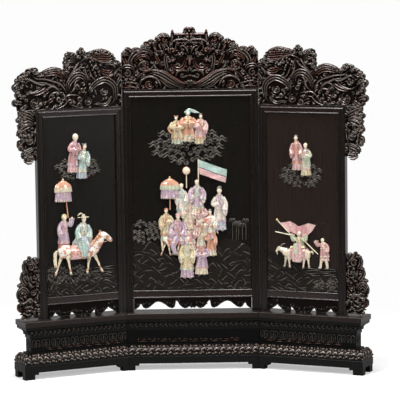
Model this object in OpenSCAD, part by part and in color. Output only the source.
// Three-leaf carved hardwood table screen on a three-section stand.
// Units are millimetres, +Z is up, -Y is the front.
// The origin is the middle of the footprint, on the surface it stands on.

/* [Leaves] */
// Width of the centre leaf on its front face
centre_w = 338; // [310:1:380]
// Width of each wing leaf on its front face
wing_w = 230; // [210:1:270]
// Angle that each wing stands forward of the centre leaf
wing_angle = 24.5; // [12:0.5:34]
// Thickness of the leaves
leaf_t = 18; // [17:0.5:24]
// Height of the centre frame above the stand
centre_h = 561; // [520:1:620]
// Height of each wing frame above the stand
wing_h = 520; // [480:1:560]
// Width of stiles and top rails
member_w = 20; // [18:0.5:26]
// Height of the bottom rails
bottom_rail_h = 21; // [18:0.5:28]
// Radius of the two beads on each frame member
bead_r = 2.3; // [1.5:0.1:3]
// Depth of the flats below the crown of the beads
bead_rise = 1.5; // [0.8:0.1:2.2]
// Height of the pierced apron under each bottom rail
apron_h = 34; // [30:0.5:44]
// Thickness of the apron boards
apron_t = 9; // [6:0.5:11]

/* [Panels] */
// Thickness of each panel
panel_t = 7; // [4:0.5:8]
// Depth of the panel face behind the front of the frame
panel_recess = 5; // [4:0.5:7]
// How far the panel edge runs into its groove
panel_tongue = 4; // [2:0.5:6]

/* [Stand] */
// Height of the open feet below the plinth
foot_h = 17; // [12:0.5:24]
// Height of the plinth fascia
plinth_h = 19; // [14:0.5:26]
// Height of the petal moulding above the plinth
petal_h = 28; // [22:0.5:36]
// Height of the recessed waist
waist_h = 36; // [28:0.5:48]
// Height of the leaf moulding under the top board
frieze_h = 30; // [22:0.5:38]
// Thickness of the top board
board_t = 14; // [10:0.5:20]
// Overhang of the top board in front of the leaves
board_front = 25; // [20:0.5:32]
// Overhang of the plinth in front of the leaves
plinth_front = 28; // [24:0.5:36]
// Overhang of the stand behind the leaves
stand_back = 28; // [24:0.5:36]
// How far the waist stands in front of the leaves
waist_front = 8; // [4:0.5:12]
// How far the waist stands behind the leaves
waist_back = 10; // [8:0.5:16]
// Overhang of the top board past the outer edge of a wing leaf
board_end = 50; // [42:0.5:62]
// Overhang of the plinth past the outer edge of a wing leaf
plinth_end = 55; // [46:0.5:68]
// Overhang of the waist past the outer edge of a wing leaf
waist_end = 30; // [20:0.5:38]
// Width of an outer foot
outer_foot_w = 26; // [20:0.5:34]
// Width of a foot beside a mitre
inner_foot_w = 16; // [12:0.5:22]
// Depth of a foot
foot_d = 20; // [16:0.5:26]
// How far the shoulder of a foot runs along the plinth
shoulder_w = 10; // [6:0.5:16]
// Height of the shoulder of a foot
shoulder_h = 5; // [3:0.5:8]

/* [Carved crests] */
// Thickness of the pierced crests, ears and spandrels
crest_t = 12; // [8:0.5:14]
// Height of the relief carved on their faces
relief_h = 3; // [1.5:0.1:3]
// Height of the plain bar along the foot of a crest
crest_bar = 36; // [28:0.5:44]

/* [Joints] */
// Gap left on each side of a mitre between two sections
mitre_gap = 0.4; // [0.2:0.05:0.8]
// Clearance round a tenon in its mortise
tenon_gap = 0.25; // [0.1:0.05:0.5]
// Length of the tenons that drop into the stand
foot_tenon = 30; // [20:0.5:36]
// Length of the tenons under a crest
crest_tenon = 12; // [8:0.5:14]
// Thickness of all tenons
tenon_t = 6; // [4:0.5:7]
// Radius of a hinge knuckle
knuckle_r = 3.8; // [3.2:0.1:5]
// Radius of a hinge pin
pin_r = 1.6; // [1.2:0.1:2]
// Running clearance round a hinge pin
pin_gap = 0.05; // [0.02:0.01:0.1]
// Length of a hinge plate along the stand
plate_l = 26; // [20:0.5:34]
// Thickness of a hinge plate
plate_t = 1.6; // [1.2:0.1:2.4]
// Gap between neighbouring knuckles
knuckle_gap = 0.3; // [0.15:0.05:0.5]

/* [Porcelain] */
// Height of a standing figure, which sets the size of all the porcelain
figure_h = 84; // [74:0.5:90]

/* [Hidden] */
$fn = 48;

// Levels of the stand, from the floor up
plinth_z = foot_h;
petal_z = plinth_z + plinth_h;
waist_z = petal_z + petal_h;
frieze_z = waist_z + waist_h;
board_z = frieze_z + frieze_h;
stand_top = board_z + board_t;

// Levels of the leaves
rail_z = stand_top + apron_h;
opening_z = rail_z + bottom_rail_h;
centre_top = stand_top + centre_h;
wing_top = stand_top + wing_h;

// The mitre between two sections halves the wing angle
mitre_t = tan(wing_angle / 2);
mitre_c = cos(wing_angle / 2);
half_w = centre_w / 2;
back_y = leaf_t + stand_back;
far = 120;

// The hinge axis lies on the mitre, just behind the back of the stand
axis_y = back_y + knuckle_r + 0.2;

// Front and back reach before centring, which sets where the origin lies
front_reach = (wing_w + plinth_end) * sin(wing_angle) + plinth_front * cos(wing_angle);
back_reach = axis_y + knuckle_r;
shift_y = (front_reach - back_reach) / 2;

// Panel groove, a little wider than the panel
groove_y = panel_recess - tenon_gap / 2;
groove_t = panel_t + tenon_gap;
tenon_y = (leaf_t - tenon_t) / 2;

// Colours
blackwood = [0.13, 0.08, 0.07];
redwood = [0.24, 0.11, 0.09];
panel_black = [0.08, 0.06, 0.06];
brass = [0.72, 0.56, 0.28];
rose = [0.86, 0.56, 0.58];
lilac = [0.72, 0.66, 0.80];
turquoise = [0.52, 0.76, 0.74];
cream = [0.92, 0.88, 0.72];
orange = [0.80, 0.42, 0.26];

// Puts a section in place: side 0 is the centre, -1 the left wing, 1 the right wing.
// A wing is drawn with +X running outwards from the mitre and its front face at Y = 0.
module at_side(side) {
    translate([0, shift_y, 0]) {
        if (side == 0) children();
        if (side > 0) wing_frame() children();
        if (side < 0) mirror([1, 0, 0]) wing_frame() children();
    }
}

module wing_frame() {
    translate([half_w, 0, 0]) rotate([0, 0, -wing_angle]) children();
}

function gap_x() = mitre_gap / mitre_c;

// Plan of all the space that belongs to one section, between its mitres
module bay(side) {
    near_x = side == 0 ? -half_w - far * mitre_t + gap_x() : -far * mitre_t + gap_x();
    front_x = side == 0 ? -half_w + far * mitre_t + gap_x() : far * mitre_t + gap_x();
    end_x = wing_w + far * 2;
    if (side == 0)
        polygon([[front_x, -far], [-front_x, -far], [-near_x, far], [near_x, far]]);
    else
        polygon([[front_x, -far], [end_x, -far], [end_x, far], [near_x, far]]);
}

module in_bay(side, z0, h) {
    intersection() {
        children();
        translate([0, 0, z0]) linear_extrude(h) bay(side);
    }
}

// A layer of the stand. The same outline, in depth and height, runs along the
// front and back and turns round the outer end of a wing.
module layer(side, z0, h, end) {
    length = side == 0 ? half_w + far : wing_w + end;
    start = side == 0 ? -half_w - far : -far;
    in_bay(side, z0, h)
        intersection() {
            translate([start, 0, z0])
                rotate([90, 0, 90]) linear_extrude(length - start) children(0);
            if (side == 0)
                translate([start, -far, z0]) cube([length - start, 2 * far, h]);
            else
                translate([0, far, z0]) rotate([90, 0, 0]) linear_extrude(2 * far) children(1);
        }
}

// Outline of a layer with straight sides and rounded arrises
module fascia(front, back, h, r) {
    hull_x = back + front;
    translate([-front, 0]) {
        translate([0, r]) square([hull_x, h - 2 * r]);
        translate([r, 0]) square([hull_x - 2 * r, h]);
        for (x = [r, hull_x - r])
            for (y = [r, h - r])
                translate([x, y]) circle(r);
    }
}

module fascia_end(end, h, r) {
    fascia(far, end, h, r);
}

// Outline of a bulging moulding that is widest near its foot
module cushion(front, back, h, drop) {
    lip = h * 0.28;
    translate([-front, 0]) square([front + back, lip]);
    translate([-front + drop, 0]) square([front + back - 2 * drop, h]);
    intersection() {
        translate([-front, 0]) square([front + back, h]);
        union() {
            translate([-front + drop, lip]) circle(drop);
            translate([back - drop, lip]) circle(drop);
        }
    }
}

// Outline of a hollow moulding that spreads towards its top
module cavetto(front, back, h, spread) {
    lip = h * 0.22;
    neck = back + front - 2 * spread;
    translate([-front + spread, 0]) square([neck, h]);
    translate([-front, h - lip]) square([front + back, lip]);
    translate([-front + spread, h - lip]) cove(spread);
    translate([back - spread, h - lip]) mirror([1, 0]) cove(spread);
}

// The hollow quarter between a vertical face on its right and a soffit above it,
// with a small step left along both
module cove(r) {
    fillet = 0.6;
    difference() {
        translate([-r, -r]) square([r + fillet, r + fillet]);
        translate([-r - fillet, -r - fillet]) circle(r);
    }
}

arris_r = 2;

module plinth(side) {
    color(blackwood) at_side(side) union() {
        difference() {
            layer(side, plinth_z, plinth_h, plinth_end) {
                fascia(plinth_front, back_y, plinth_h, arris_r);
                fascia_end(wing_w + plinth_end, plinth_h, arris_r);
            }
            screw_pilots(side);
        }
        for (y = [-plinth_front + 1, back_y - foot_d - 1])
            if (side == 0) {
                foot(side, -half_w - far * mitre_t, inner_foot_x(y), y, 1);
                mirror([1, 0, 0]) foot(side, -half_w - far * mitre_t, inner_foot_x(y), y, 1);
            } else {
                foot(side, -far * mitre_t, half_w + inner_foot_x(y), y, 1);
                foot(side, wing_w + plinth_end - 1 - outer_foot_w, wing_w + plinth_end - 1, y, -1);
            }
    }
}

// Outer limit of the foot beside a mitre, measured along its front edge
function inner_foot_x(y) = -half_w - y * mitre_t + inner_foot_w;

// A stepped bracket foot from x0 to x1, whose shoulder runs towards dir
module foot(side, x0, x1, y, dir) {
    top = plinth_z + 1;
    in_bay(side, 0, top) {
        union() {
            translate([x0, y, 0]) cube([x1 - x0, foot_d, top]);
            translate([dir > 0 ? x0 : x0 - shoulder_w, y, plinth_z - shoulder_h])
                cube([x1 - x0 + shoulder_w, foot_d, shoulder_h + 1]);
        }
    }
}

module petal_moulding(side) {
    drop = plinth_front - waist_front - 2;
    color(redwood) at_side(side)
        layer(side, petal_z, petal_h, plinth_end - 1) {
            cushion(plinth_front - 1, back_y - 1, petal_h, drop - 2);
            cushion(far, wing_w + plinth_end - 1, petal_h, drop - 2);
        }
}

module waist(side) {
    color(blackwood) at_side(side)
        layer(side, waist_z, waist_h, waist_end) {
            translate([-waist_front, 0]) square([waist_front + leaf_t + waist_back, waist_h]);
            translate([-far, 0]) square([far + wing_w + waist_end, waist_h]);
        }
}

module leaf_moulding(side) {
    spread = board_front - waist_front - 2;
    color(redwood) at_side(side)
        difference() {
            layer(side, frieze_z, frieze_h, board_end - 2) {
                cavetto(board_front - 2, back_y - 4, frieze_h, spread);
                cavetto(far, wing_w + board_end - 2, frieze_h, spread);
            }
            mortises(side, tenon_gap);
        }
}

module top_board(side) {
    color(blackwood) at_side(side)
        difference() {
            layer(side, board_z, board_t, board_end) {
                fascia(board_front, back_y, board_t, arris_r);
                fascia_end(wing_w + board_end, board_t, arris_r);
            }
            mortises(side, tenon_gap);
            screw_pilots(side);
        }
}

// Places of the two tenons that carry a leaf, from its own left or inner edge
tenon_w = 10;
function tenon_xs(side) = side == 0
    ? [-half_w + member_w / 2, half_w - member_w / 2]
    : [member_w / 2, wing_w - member_w / 2];

module foot_tenon_at(x, gap) {
    translate([x - tenon_w / 2 - gap, tenon_y - gap, stand_top - foot_tenon - 2 * gap])
        cube([tenon_w + 2 * gap, tenon_t + 2 * gap, foot_tenon + 4 * gap + 1]);
}

module mortises(side, gap) {
    for (x = tenon_xs(side)) foot_tenon_at(x, gap);
}

// Section of a stile or top rail: X runs from the outer edge to the opening, Y from front to back.
// A stile at a mitre is drawn wider by extra and then cut along the mitre.
module member_section(extra) {
    w = member_w;
    translate([-extra, bead_rise]) square([w + extra - 0.5, leaf_t - bead_rise]);
    translate([w * 0.3, bead_r]) circle(bead_r);
    translate([w - bead_r, bead_r]) circle(bead_r);
    translate([w - bead_r, bead_r]) square([bead_r, leaf_t - bead_r]);
}

// An upright member with its outer edge at x = 0 and its opening edge at x = w
module stile_blank(z1) {
    translate([0, 0, stand_top]) linear_extrude(z1 - stand_top) member_section(leaf_t / 2);
}

// The stile's top end is mitred to the top rail
module stile_trim(z1) {
    m = member_w + 1;
    translate([0, -1, z1])
        rotate([-90, 0, 0]) linear_extrude(leaf_t + 2) polygon([[0, -1], [0, 0], [m, m], [m, -1]]);
}

// One upright, drawn with +X towards the opening
module stile_solid(z1) {
    difference() {
        union() {
            stile_blank(z1);
            foot_tenon_at(member_w / 2, 0);
        }
        stile_trim(z1);
        translate([member_w - panel_tongue - tenon_gap, groove_y, opening_z - panel_tongue - tenon_gap])
            cube([panel_tongue + tenon_gap + 1, groove_t, z1]);
        rail_tenon(member_w, rail_z + 3, bottom_rail_h - 10, tenon_gap);
        rail_tenon(member_w, stand_top + 14, apron_h - 18, tenon_gap);
    }
}

// The socket or tongue that joins a rail to a stile whose opening edge is at x
rail_tongue = 8;
module rail_tenon(x, z, h, gap) {
    translate([x - rail_tongue - gap, tenon_y - gap, z - gap])
        cube([rail_tongue + gap + 0.01, tenon_t + 2 * gap, h + 2 * gap]);
}

module left_upright(side, z1) {
    x0 = side == 0 ? -half_w : 0;
    in_bay(side, 0, z1 + 1)
        translate([x0, 0, 0]) stile_solid(z1);
}

module outer_upright(z1) {
    difference() {
        intersection() {
            translate([wing_w, 0, 0]) mirror([1, 0, 0]) stile_solid(z1);
            translate([0, -1, 0]) cube([wing_w, leaf_t + 2, z1 + 1]);
        }
        side_tongue(wing_top - 70, tenon_gap);
        side_tongue(stand_top + 60, tenon_gap);
    }
}

// The tongue that holds an ear or a spandrel to the outer stile
side_tongue_l = 6;
side_tongue_h = 30;
module side_tongue(z, gap) {
    translate([wing_w - side_tongue_l - gap, tenon_y - gap, z - gap])
        cube([side_tongue_l + 2 * gap + 1, tenon_t + 2 * gap, side_tongue_h + 2 * gap]);
}

module stile(side, outer) {
    color(blackwood) at_side(side) {
        if (side == 0) {
            if (outer) mirror([1, 0, 0]) left_upright(0, centre_top);
            else left_upright(0, centre_top);
        } else {
            if (outer) outer_upright(wing_top);
            else left_upright(1, wing_top);
        }
    }
}

function leaf_x0(side) = side == 0 ? -half_w : 0;
function leaf_x1(side) = side == 0 ? half_w : wing_w;
function leaf_top(side) = side == 0 ? centre_top : wing_top;

module top_rail(side) {
    x0 = leaf_x0(side);
    x1 = leaf_x1(side);
    z1 = leaf_top(side);
    m = member_w;
    color(blackwood) at_side(side)
        in_bay(side, 0, z1 + 1) difference() {
            translate([x0, 0, z1]) rotate([0, 90, 0]) linear_extrude(x1 - x0) member_section(0);
            for (x = [x0, x1])
                translate([x, -1, z1])
                    mirror([x == x0 ? 0 : 1, 0, 0])
                        rotate([-90, 0, 0]) linear_extrude(leaf_t + 2)
                            polygon([[-1, -1], [0, 0], [m, m], [m, m + 1], [-1, m + 1]]);
            translate([x0 + m - panel_tongue - tenon_gap, groove_y, z1 - m - 1])
                cube([x1 - x0 - 2 * m + 2 * panel_tongue + 2 * tenon_gap, groove_t, panel_tongue + tenon_gap + 1]);
            crest_tenons(side, tenon_gap);
        }
}

crest_tenon_w = 24;
module crest_tenons(side, gap) {
    mid = (leaf_x0(side) + leaf_x1(side)) / 2;
    span = (leaf_x1(side) - leaf_x0(side)) / 4;
    for (x = [mid - span, mid + span])
        translate([x - crest_tenon_w / 2 - gap, tenon_y - gap, leaf_top(side) - crest_tenon - gap])
            cube([crest_tenon_w + 2 * gap, tenon_t + 2 * gap, crest_tenon + gap + 1]);
}

module bottom_rail(side) {
    x0 = leaf_x0(side) + member_w;
    x1 = leaf_x1(side) - member_w;
    h = bottom_rail_h;
    color(blackwood) at_side(side)
        difference() {
            union() {
                translate([x0, 0, rail_z]) rotate([90, 0, 90]) linear_extrude(x1 - x0) {
                    translate([bead_rise, 0]) square([leaf_t - bead_rise, h]);
                    translate([bead_r, h - bead_r]) circle(bead_r);
                    translate([bead_r, bead_r]) circle(bead_r);
                }
                rail_tenon(x0, rail_z + 3, h - 10, 0);
                translate([x1 + x0, 0, 0]) mirror([1, 0, 0]) rail_tenon(x0, rail_z + 3, h - 10, 0);
            }
            translate([x0 - rail_tongue - 1, groove_y, opening_z - panel_tongue - tenon_gap])
                cube([x1 - x0 + 2 * rail_tongue + 2, groove_t, panel_tongue + 1]);
        }
}

module panel(side) {
    x0 = leaf_x0(side) + member_w - panel_tongue;
    x1 = leaf_x1(side) - member_w + panel_tongue;
    z0 = opening_z - panel_tongue;
    z1 = leaf_top(side) - member_w + panel_tongue;
    color(panel_black) at_side(side)
        translate([x0, panel_recess, z0]) cube([x1 - x0, panel_t, z1 - z0]);
}

// Cut-outs along the foot of the aprons: distance along, height of the centre, radius
centre_cuts = [[8, 6, 3], [39, 3, 12], [50, 3, 6], [96, -1, 17], [135, 1, 7]];
wing_cuts = [[31, -1, 15], [74, 1, 8], [98, 3, 4], [109, 3, 4], [130, 1, 9], [173, 0, 11]];

module apron(side) {
    x0 = leaf_x0(side) + member_w;
    x1 = leaf_x1(side) - member_w;
    y0 = tenon_y - 1;
    color(blackwood) at_side(side)
        difference() {
            union() {
                translate([x0, y0, stand_top]) cube([x1 - x0, apron_t, apron_h]);
                rail_tenon(x0, stand_top + 14, apron_h - 18, 0);
                translate([x1 + x0, 0, 0]) mirror([1, 0, 0])
                    rail_tenon(x0, stand_top + 14, apron_h - 18, 0);
            }
            if (side == 0)
                for (c = centre_cuts)
                    for (x = [-c[0], c[0]]) apron_cut(x, c);
            else
                for (c = wing_cuts) apron_cut(x0 + c[0] - 9, c);
        }
}

module apron_cut(x, c) {
    translate([x, -1, stand_top + c[1]]) rotate([-90, 0, 0]) cylinder(r = c[2], h = leaf_t + 2);
}

// Carved work. Each lobe is [distance along, height above the foot of the piece, radius].
centre_mass = [[0, 0], [171, 0], [170, 84], [150, 92], [128, 98], [108, 114], [88, 126], [46, 136], [46, 140],
    [36, 140], [34, 136], [0, 140]];
centre_lobes = [[161, 91, 11], [148, 93, 9], [124, 103, 9], [116, 113, 10], [101, 117, 10], [79, 126, 13],
    [62, 127, 12], [42, 141, 6], [10, 142, 8]];
centre_scrolls = [[103, 62, 24], [99, 20, 18], [17, 70, 15], [150, 62, 15], [62, 92, 14], [145, 22, 13],
    [62, 50, 12]];

inner_mass = [[0, 0], [150, 0], [158, 84], [144, 112], [20, 112], [0, 90]];
inner_lobes = [[8, 96, 18], [24, 112, 18], [44, 124, 22], [72, 122, 22], [107, 138, 12], [106, 120, 20],
    [130, 124, 15], [139, 133, 8], [142, 120, 13], [146, 96, 14]];
inner_scrolls = [[38, 36, 26], [60, 96, 24], [88, 58, 22], [116, 96, 18], [14, 70, 13]];
outer_mass = [[-90, 0], [30, 0], [38, 30], [38, 62], [20, 80], [-60, 86], [-90, 80]];
outer_lobes = [[-65, 88, 16], [-45, 88, 18], [-22, 86, 18], [2, 86, 18], [22, 84, 18], [36, 70, 14],
    [42, 34, 12], [34, 14, 13]];
outer_scrolls = [[-2, 24, 22], [-26, 70, 18], [14, 66, 18], [-58, 44, 20], [-92, 18, 14]];
left_tips = [[46, 60, 9], [51, 58, 6], [44, 23, 10], [50, 22, 7]];
right_tips = [[44, 68, 14], [54, 58, 9], [64, 62, 6], [50, 26, 10], [62, 24, 6]];

ear_mass = [[0, 0], [36, 0], [40, -30], [34, -80], [22, -110], [0, -114]];
ear_lobes = [[36, -12, 12], [44, -26, 9], [51, -27, 5], [41, -42, 10], [38, -60, 12], [36, -80, 13],
    [31, -100, 14], [23, -113, 13], [10, -116, 11]];
ear_scrolls = [[24, -84, 14], [14, -108, 10], [22, -30, 14], [24, -56, 12]];
spandrel_mass = [[0, 0], [26, 0], [44, 36], [46, 70], [30, 120], [18, 148], [0, 156]];
spandrel_lobes = [[14, 152, 9], [22, 143, 9], [29, 126, 11], [32, 106, 11], [38, 88, 11], [45, 70, 13],
    [46, 50, 13], [44, 34, 13], [33, 17, 14], [20, 10, 10]];
spandrel_scrolls = [[18, 132, 12], [22, 92, 16], [30, 60, 18], [22, 24, 16], [12, 112, 8]];

module lobes(list) {
    for (l = list) translate([l[0], l[1]]) circle(l[2]);
}

// A raised ring with a boss, the main form of a carved scroll
module scroll(c) {
    difference() {
        translate([c[0], c[1]]) circle(c[2]);
        translate([c[0] + c[2] * 0.15, c[1]]) circle(c[2] * 0.62);
    }
    translate([c[0] + c[2] * 0.1, c[1]]) circle(c[2] * 0.3);
}

// Stands a flat drawing of x and height up in the leaf's mid plane
module carved(z0, t) {
    translate([0, leaf_t / 2 + t / 2, z0]) rotate([90, 0, 0]) linear_extrude(t) children();
}

module crest_plan(side) {
    if (side == 0)
        for (m = [0, 1]) mirror([m, 0]) {
            polygon(centre_mass);
            translate([0, 0]) square([half_w + 3, crest_bar]);
            lobes(centre_lobes);
        }
    else {
        square([wing_w, crest_bar]);
        translate([-4, 0]) square([30, 92]);
        polygon(inner_mass);
        lobes(inner_lobes);
        translate([wing_w, 0]) {
            polygon(outer_mass);
            lobes(outer_lobes);
            lobes(side < 0 ? left_tips : right_tips);
        }
    }
}

module scrolls(list) {
    for (c = list) scroll(c);
}

module crest_scrolls(side) {
    if (side == 0)
        for (m = [0, 1]) mirror([m, 0]) scrolls(centre_scrolls);
    else {
        scrolls(inner_scrolls);
        translate([wing_w, 0]) scrolls(outer_scrolls);
    }
}

module crest(side) {
    z1 = leaf_top(side);
    color(redwood) at_side(side)
        union() {
            in_bay(side, z1, 300) {
                union() {
                    carved(z1, crest_t) crest_plan(side);
                    intersection() {
                        carved(z1, crest_t + 2 * relief_h) crest_scrolls(side);
                        carved(z1, leaf_t) crest_plan(side);
                    }
                }
            }
            difference() {
                crest_tenons(side, 0);
                translate([-half_w, 0, z1 + 0.5]) cube([centre_w + wing_w, leaf_t, crest_bar]);
            }
        }
}

module ear(side) {
    color(redwood) at_side(side)
        union() {
            carved_piece(wing_top, ear_scrolls)
                difference() {
                    union() {
                        polygon(ear_mass);
                        lobes(ear_lobes);
                    }
                    translate([-far, -far * 2]) square([far, far * 4]);
                    translate([-far, 0]) square([far * 2, far]);
                }
            side_tongue(wing_top - 70, 0);
        }
}

module spandrel(side) {
    color(redwood) at_side(side)
        union() {
            carved_piece(stand_top, spandrel_scrolls)
                difference() {
                    union() {
                        polygon(spandrel_mass);
                        lobes(spandrel_lobes);
                    }
                    translate([-far, -far]) square([far, far * 4]);
                    translate([-far, -far]) square([far * 2, far]);
                }
            side_tongue(stand_top + 60, 0);
        }
}

// A carved piece beside the outer edge of a wing, with its scrolls in relief
module carved_piece(z0, list) {
    translate([wing_w, 0, 0]) carved(z0, crest_t) children();
    intersection() {
        translate([wing_w, 0, 0]) carved(z0, crest_t + 2 * relief_h) scrolls(list);
        translate([wing_w, 0, 0]) carved(z0, leaf_t) children();
    }
}

// Hinges. Each side has a low one on the plinth and a high one on the top board.
// The fixed plate carries the outer knuckles and the moving plate the middle one.
hinge_levels = [[plinth_z + 2, plinth_h - 4], [board_z + 1.5, board_t - 3]];
plate_off = axis_y - back_y;
screw_r = 1.1;
screw_l = 8;
screw_xs = [-plate_l * 0.4, -plate_l * 0.85];

// Places hinge work on its axis, drawn with its own section towards -X.
// On the centre section, end 1 is the right joint and end -1 the left one.
module at_joint(side, end) {
    if (side == 0 && end > 0) translate([half_w + axis_y * mitre_t, axis_y, 0]) children();
    if (side == 0 && end < 0)
        mirror([1, 0, 0]) translate([half_w + axis_y * mitre_t, axis_y, 0]) children();
    if (side != 0) translate([-axis_y * mitre_t, axis_y, 0]) mirror([1, 0, 0]) children();
}

function joint_ends(side) = side == 0 ? [-1, 1] : [1];
function knuckle_h(h) = (h - 2 * knuckle_gap) / 3;

module knuckle(z, h) {
    translate([0, 0, z]) cylinder(r = knuckle_r, h = h);
}

module plate(z, h) {
    edge = -plate_off * mitre_t - mitre_gap - 0.2;
    translate([edge - plate_l, -plate_off, z]) cube([plate_l, plate_t, h]);
}

// The strip that joins a knuckle to its plate, on its own side of the mitre
module plate_link(z, h) {
    edge = -plate_off * mitre_t - mitre_gap - 0.2;
    translate([edge - 4, -plate_off, z]) cube([4, plate_off - pin_r, h]);
    translate([edge - 1, -plate_off + 1, z]) cube([2, plate_off - pin_r - 1, h]);
}

module screw_row(z, h, r, y0, t) {
    for (x = screw_xs)
        translate([x, y0, z + h / 2]) rotate([-90, 0, 0]) cylinder(r = r, h = t);
}

// A hinge leaf: plate and knuckles, clear of the other leaf's knuckles, bored for the pin
module hinge_leaf(z, h, own, others) {
    k = knuckle_h(h);
    difference() {
        union() {
            plate(z, h);
            for (n = own) {
                knuckle(z + n * (k + knuckle_gap), k);
                plate_link(z + n * (k + knuckle_gap), k);
            }
        }
        for (n = others)
            translate([0, 0, z + n * (k + knuckle_gap) - knuckle_gap])
                cylinder(r = knuckle_r + 0.4, h = k + 2 * knuckle_gap);
        translate([0, 0, z - 1]) cylinder(r = pin_r + pin_gap, h = h + 2);
        screw_row(z, h, screw_r + 0.05, -plate_off - 1, plate_t + 2);
    }
}

module hinge_fixed(end) {
    color(brass) at_side(0) at_joint(0, end)
        for (l = hinge_levels) hinge_leaf(l[0], l[1], [0, 2], [1]);
}

module hinge_moving(side) {
    color(brass) at_side(side) at_joint(side, 1)
        for (l = hinge_levels) hinge_leaf(l[0], l[1], [1], [0, 2]);
}

// Pins with a flat head that rests on the top knuckle
module hinge_pins(end) {
    color(brass) at_side(0) at_joint(0, end)
        for (l = hinge_levels) {
            translate([0, 0, l[0]]) cylinder(r = pin_r, h = l[1] + 0.5);
            translate([0, 0, l[0] + l[1]]) cylinder(r = pin_r + 1, h = 1);
        }
}

// Screws, with a low head on the plate and a shank in the wood
module screws(side) {
    color(brass) at_side(side)
        for (end = joint_ends(side))
            at_joint(side, end)
                for (l = hinge_levels) {
                    screw_row(l[0], l[1], screw_r, -plate_off - screw_l, plate_t + screw_l + 0.1);
                    screw_row(l[0], l[1], screw_r + 0.9, -plate_off + plate_t, 0.8);
                }
}

module screw_pilots(side) {
    for (end = joint_ends(side))
        at_joint(side, end)
            for (l = hinge_levels)
                screw_row(l[0], l[1], screw_r + 0.05, -plate_off - screw_l - 0.1, screw_l + 1);
}

// Porcelain. The scenes are drawn for figures drawn_h tall and scaled to figure_h.
// They lie on the face of the panel, cut a little in front of their middle.
drawn_h = 84;
head_r = 3.6;
hem_r = 8;
set_back = 0.7;
reach = 40;

// Places a scene whose origin is the middle of the panel at the height z0
module on_panel(side, z0) {
    $fn = 24;
    at_side(side)
        translate([side == 0 ? 0 : wing_w / 2, panel_recess, z0]) scale(figure_h / drawn_h)
            intersection() {
                translate([0, set_back, 0]) children();
                translate([-far, -reach, -far]) cube([2 * far, reach, 4 * far]);
            }
}

// A standing figure: hem at x, z, total height h, leaning by tilt degrees
module figure(x, z, h, r, tilt) {
    translate([x, 0, z]) rotate([0, tilt, 0]) {
        rotate_extrude()
            polygon([[0, 0], [r, 0], [r * 0.9, h * 0.2], [r * 0.55, h * 0.5], [r * 0.75, h * 0.66],
                [r * 0.62, h - 2 * head_r - 2], [head_r * 0.5, h - 2 * head_r], [head_r * 0.5, h - head_r],
                [0, h - head_r]]);
        translate([0, -1, h - head_r]) sphere(r = head_r);
        translate([0, -1, h]) sphere(r = head_r * 0.6);
        for (m = [-1, 1])
            translate([m * r * 0.55, -r * 0.2, h - 2 * head_r - 4])
                rotate([0, m * 150, 0]) cylinder(r1 = r * 0.25, r2 = r * 0.4, h = h * 0.26);
    }
}

module rod(x0, z0, x1, z1, r) {
    dx = x1 - x0;
    dz = z1 - z0;
    translate([x0, 0, z0]) rotate([0, atan2(dx, dz), 0]) cylinder(r = r, h = norm([dx, dz]));
}

// A three-tier parasol: foot of its canopy at x, z, canopy height h, and the pole below it
module parasol(x, z, h, r, pole) {
    tier = h / 3;
    translate([x, 0, z]) {
        translate([0, 0, -pole]) cylinder(r = 1.4, h = pole + h);
        for (n = [0 : 2])
            translate([0, 0, tier * n])
                cylinder(r1 = r * (1 - 0.12 * n), r2 = r * (0.78 - 0.16 * n), h = tier);
        translate([0, 0, h]) sphere(r = r * 0.25);
    }
}

// A four-legged beast that faces dir along X, with its hooves at z
module beast(x, z, l, h, r, dir) {
    neck = [dir * l * 0.34, h * 0.62];
    head = [dir * l * 0.46, h * 0.9];
    translate([x, 0, z]) {
        rod(-dir * l * 0.32, h * 0.55, dir * l * 0.34, h * 0.55, r);
        for (m = [-0.32, 0.34]) translate([dir * m * l, 0, h * 0.55]) sphere(r = r * 1.04);
        for (m = [-0.4, -0.3, 0.22, 0.36])
            rod(dir * m * l, 0, dir * (m * 0.9 + 0.02) * l, h * 0.5, r * 0.24);
        rod(neck[0], neck[1], head[0], head[1], r * 0.52);
        translate([head[0], 0, head[1]]) sphere(r = r * 0.6);
        rod(head[0], head[1], head[0] + dir * l * 0.15, head[1] - h * 0.16, r * 0.42);
        rod(-dir * l * 0.38, h * 0.6, -dir * l * 0.5, h * 0.2, r * 0.2);
    }
}

// Levels that the porcelain scenes start from
left_ground = opening_z + member_w * 2.6;
right_ground = opening_z + member_w * 2.9;
centre_ground = opening_z + member_w * 1.6;
wing_sky = wing_top - member_w * 8.8;
centre_sky = centre_top - member_w * 7.2;

module left_sky_pair() {
    color(rose) on_panel(-1, wing_sky) union() {
        figure(19, 16, 94, hem_r * 1.2, 6);
        figure(-3, 0, 96, hem_r * 1.3, -3);
    }
}

module right_sky_pair() {
    color(rose) on_panel(1, wing_sky) union() {
        figure(-11, 14, 90, hem_r * 1.4, -2);
        figure(11, 0, 86, hem_r * 1.1, 2);
    }
}

module left_parasol() {
    color(orange) on_panel(-1, left_ground) parasol(52, 158, 76, 22, 1);
}

module left_attendant() {
    color(lilac) on_panel(-1, left_ground) figure(43, 63, 90, hem_r * 1.3, 3);
}

module left_rider() {
    color(turquoise) on_panel(-1, left_ground) figure(-5, 60, 98, hem_r * 1.8, 0);
}

module left_horse() {
    color(cream) on_panel(-1, left_ground) beast(3, 0, 122, 84, 13, -1);
}

module centre_sky_group() {
    color(lilac) on_panel(0, centre_sky) union() {
        figure(-34, 22, 66, hem_r * 1.5, -8);
        figure(-8, 18, 72, hem_r * 1.7, 0);
        figure(20, 12, 66, hem_r * 1.6, 6);
        rod(-48, 30, -20, 20, 6);
        rod(-10, 16, 38, 12, 6);
    }
}

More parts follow.
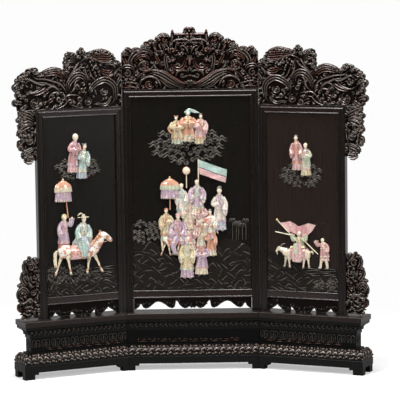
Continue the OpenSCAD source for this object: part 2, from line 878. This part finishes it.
// The procession: rows of [distance along, height above the ground, figure height, girth]
procession = [
    [-52, 150, 82, 1.2], [-26, 130, 86, 1.3], [0, 168, 82, 1.2], [20, 118, 84, 1.3], [48, 124, 80, 1.2],
    [-44, 86, 84, 1.3], [-14, 72, 86, 1.4], [16, 62, 84, 1.3], [40, 64, 82, 1.3],
    [-20, 8, 84, 1.3], [8, 0, 84, 1.3], [30, 18, 78, 1.2]
];

module centre_procession() {
    color(rose) on_panel(0, centre_ground) union() {
        for (f = procession) figure(f[0], f[1], f[2], hem_r * f[3], 0);
        parasol(-54, 194, 56, 26, 64);
        rod(-11, 190, -11, 262, 1.6);
        translate([-11, 0, 268]) rotate([90, 0, 0]) cylinder(r = 10, h = 3, center = true);
    }
}

module centre_banner() {
    color(turquoise) on_panel(0, centre_ground) translate([22, 0, 190]) union() {
        rod(0, 16, 0, 84, 1.6);
        rotate([90, 0, 0]) linear_extrude(6, center = true)
            polygon([[0, 48], [0, 82], [36, 76], [72, 54], [68, 16], [36, 34]]);
    }
}

module right_rider() {
    color(rose) on_panel(1, right_ground) union() {
        figure(-19, 44, 84, hem_r * 1.5, 4);
        rod(-67, 116, 41, 66, 1.6);
        rotate([90, 0, 0]) linear_extrude(8, center = true)
            polygon([[-59, 108], [-31, 118], [-7, 112], [9, 78], [17, 46], [-11, 52], [-29, 82]]);
    }
}

module right_herd() {
    color(cream) on_panel(1, right_ground) union() {
        beast(-17, 0, 98, 56, 10, -1);
        figure(61, 4, 68, hem_r * 1.5, -6);
    }
}

plinth(0);  // centre_plinth
petal_moulding(0);  // centre_petal_moulding
waist(0);  // centre_waist
leaf_moulding(0);  // centre_leaf_moulding
top_board(0);  // centre_top_board
plinth(-1);  // left_plinth
petal_moulding(-1);  // left_petal_moulding
waist(-1);  // left_waist
leaf_moulding(-1);  // left_leaf_moulding
top_board(-1);  // left_top_board
plinth(1);  // right_plinth
petal_moulding(1);  // right_petal_moulding
waist(1);  // right_waist
leaf_moulding(1);  // right_leaf_moulding
top_board(1);  // right_top_board
stile(0, false);  // centre_left_stile
stile(0, true);  // centre_right_stile
top_rail(0);  // centre_top_rail
bottom_rail(0);  // centre_bottom_rail
panel(0);  // centre_panel
apron(0);  // centre_apron
stile(-1, false);  // left_inner_stile
stile(-1, true);  // left_outer_stile
top_rail(-1);  // left_top_rail
bottom_rail(-1);  // left_bottom_rail
panel(-1);  // left_panel
apron(-1);  // left_apron
stile(1, false);  // right_inner_stile
stile(1, true);  // right_outer_stile
top_rail(1);  // right_top_rail
bottom_rail(1);  // right_bottom_rail
panel(1);  // right_panel
apron(1);  // right_apron
crest(0);  // centre_crest
crest(-1);  // left_crest
crest(1);  // right_crest
ear(-1);  // left_ear
ear(1);  // right_ear
spandrel(-1);  // left_spandrel
spandrel(1);  // right_spandrel
hinge_fixed(-1);  // left_hinge_fixed
hinge_moving(-1);  // left_hinge_moving
hinge_pins(-1);  // left_hinge_pins
hinge_fixed(1);  // right_hinge_fixed
hinge_moving(1);  // right_hinge_moving
hinge_pins(1);  // right_hinge_pins
screws(0);  // centre_screws
screws(-1);  // left_screws
screws(1);  // right_screws
left_sky_pair();
left_parasol();
left_attendant();
left_rider();
left_horse();
centre_sky_group();
centre_procession();
centre_banner();
right_sky_pair();
right_rider();
right_herd();
